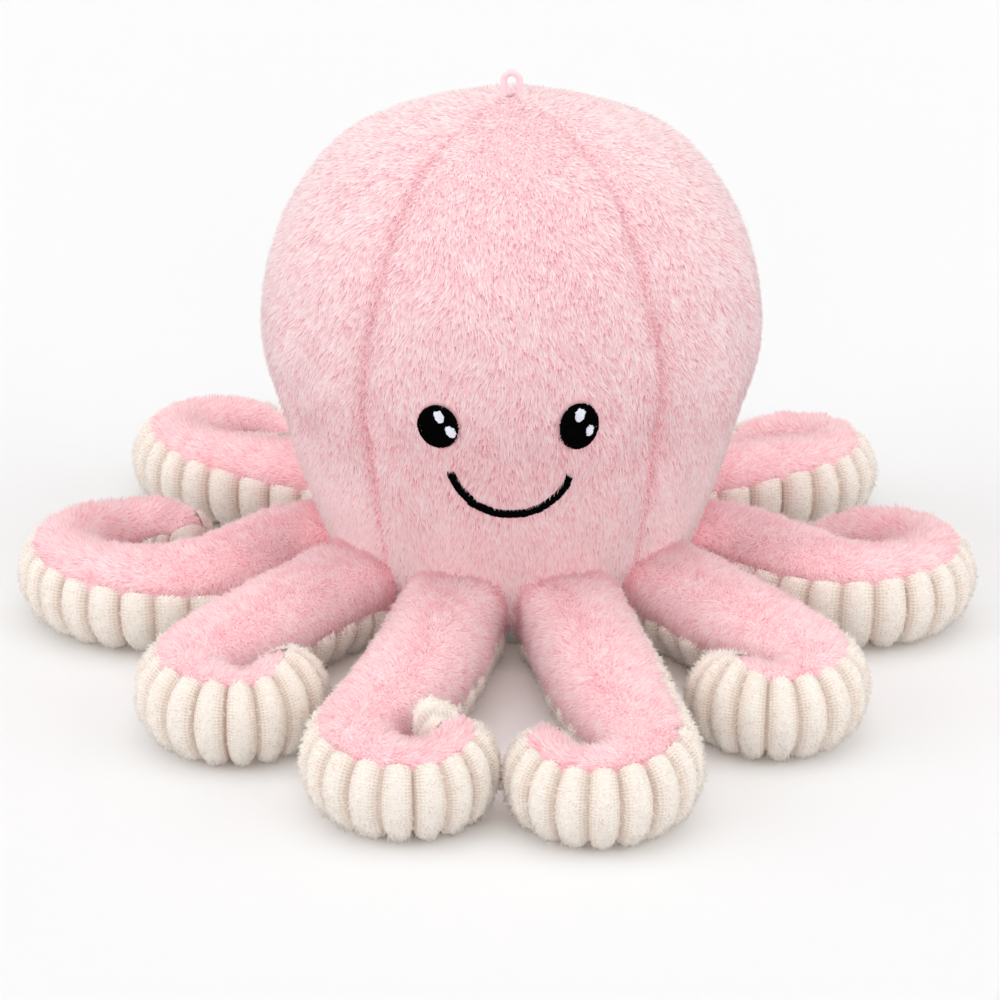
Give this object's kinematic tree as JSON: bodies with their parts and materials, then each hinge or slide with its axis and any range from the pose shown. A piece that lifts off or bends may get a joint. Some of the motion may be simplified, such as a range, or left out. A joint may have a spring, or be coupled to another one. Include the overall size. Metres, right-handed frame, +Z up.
{
  "type": "plush octopus",
  "caption": "Stuffed toy octopus with a rounded head, embroidered smiling face, a crown cord loop and curled arms with ribbed undersides that lift and droop at the seam.",
  "frame": {"origin": "middle of the underside of the base panel, on the surface that the toy stands on", "axes": "+Z up to the crown and its loop, -Y towards the face, +X to the toy's left as it looks out, which is the viewer's right"},
  "size_m": [0.4205, 0.415, 0.2384],
  "materials": {
    "pink_pile": "soft cut pile of about 4 mm, brushed down from the crown",
    "cream_rib": "wide-wale ribbed fleece with short fuzz",
    "black_thread": "dense satin stitch with a slight sheen",
    "white_thread": "satin stitch",
    "pink_cord": "thin satin cord",
    "white_fibre": "loose polyester fibre filling"
  },
  "bodies": {
    "body": {"front_gore": "pink_pile", "front_right_gore": "pink_pile", "back_right_gore": "pink_pile", "back_gore": "pink_pile", "back_left_gore": "pink_pile", "front_left_gore": "pink_pile", "base_panel": "pink_pile", "head_filling": "white_fibre", "left_eye": "black_thread", "left_eye_high_glint": "white_thread", "left_eye_low_glint": "white_thread", "right_eye": "black_thread", "right_eye_high_glint": "white_thread", "right_eye_low_glint": "white_thread", "smile": "black_thread"},
    "hanging_loop": {"hanging_loop": "pink_cord"},
    "arm_1": {"arm_1_top": "pink_pile", "arm_1_underside": "cream_rib", "arm_1_filling": "white_fibre"},
    "arm_2": {"arm_2_top": "pink_pile", "arm_2_underside": "cream_rib", "arm_2_filling": "white_fibre"},
    "arm_3": {"arm_3_top": "pink_pile", "arm_3_underside": "cream_rib", "arm_3_filling": "white_fibre"},
    "arm_4": {"arm_4_top": "pink_pile", "arm_4_underside": "cream_rib", "arm_4_filling": "white_fibre"},
    "arm_5": {"arm_5_top": "pink_pile", "arm_5_underside": "cream_rib", "arm_5_filling": "white_fibre"},
    "arm_6": {"arm_6_top": "pink_pile", "arm_6_underside": "cream_rib", "arm_6_filling": "white_fibre"},
    "arm_7": {"arm_7_top": "pink_pile", "arm_7_underside": "cream_rib", "arm_7_filling": "white_fibre"},
    "arm_8": {"arm_8_top": "pink_pile", "arm_8_underside": "cream_rib", "arm_8_filling": "white_fibre"}
  },
  "joints": [
    {"name": "loop_swing", "type": "hinge", "parent": "body", "child": "hanging_loop", "pos_m": [0, 0, 0.2279], "axis": [1, 0, 0], "range_deg": [-70, 70]},
    {"name": "arm_1_lift", "type": "hinge", "parent": "body", "child": "arm_1", "pos_m": [-0.02416, -0.0821, 0.03998], "axis": [-0.9593, 0.2823, 0], "range_deg": [-8, 30]},
    {"name": "arm_2_lift", "type": "hinge", "parent": "body", "child": "arm_2", "pos_m": [0.02431, -0.08207, 0.03998], "axis": [-0.9588, -0.284, 0], "range_deg": [-8, 30]},
    {"name": "arm_3_lift", "type": "hinge", "parent": "body", "child": "arm_3", "pos_m": [-0.06597, -0.05438, 0.03998], "axis": [-0.6361, 0.7716, 0], "range_deg": [-8, 30]},
    {"name": "arm_4_lift", "type": "hinge", "parent": "body", "child": "arm_4", "pos_m": [0.06422, -0.05622, 0.03998], "axis": [-0.6587, -0.7524, 0], "range_deg": [-8, 30]},
    {"name": "arm_5_lift", "type": "hinge", "parent": "body", "child": "arm_5", "pos_m": [-0.08443, -0.01127, 0.03998], "axis": [-0.1323, 0.9912, 0], "range_deg": [-8, 30]},
    {"name": "arm_6_lift", "type": "hinge", "parent": "body", "child": "arm_6", "pos_m": [0.08442, -0.00992, 0.03998], "axis": [-0.1167, -0.9932, 0], "range_deg": [-8, 30]},
    {"name": "arm_7_lift", "type": "hinge", "parent": "body", "child": "arm_7", "pos_m": [-0.06703, 0.05275, 0.03998], "axis": [0.6184, 0.7859, 0], "range_deg": [-8, 30]},
    {"name": "arm_8_lift", "type": "hinge", "parent": "body", "child": "arm_8", "pos_m": [0.06703, 0.05275, 0.03998], "axis": [0.6184, -0.7859, 0], "range_deg": [-8, 30]}
  ]
}
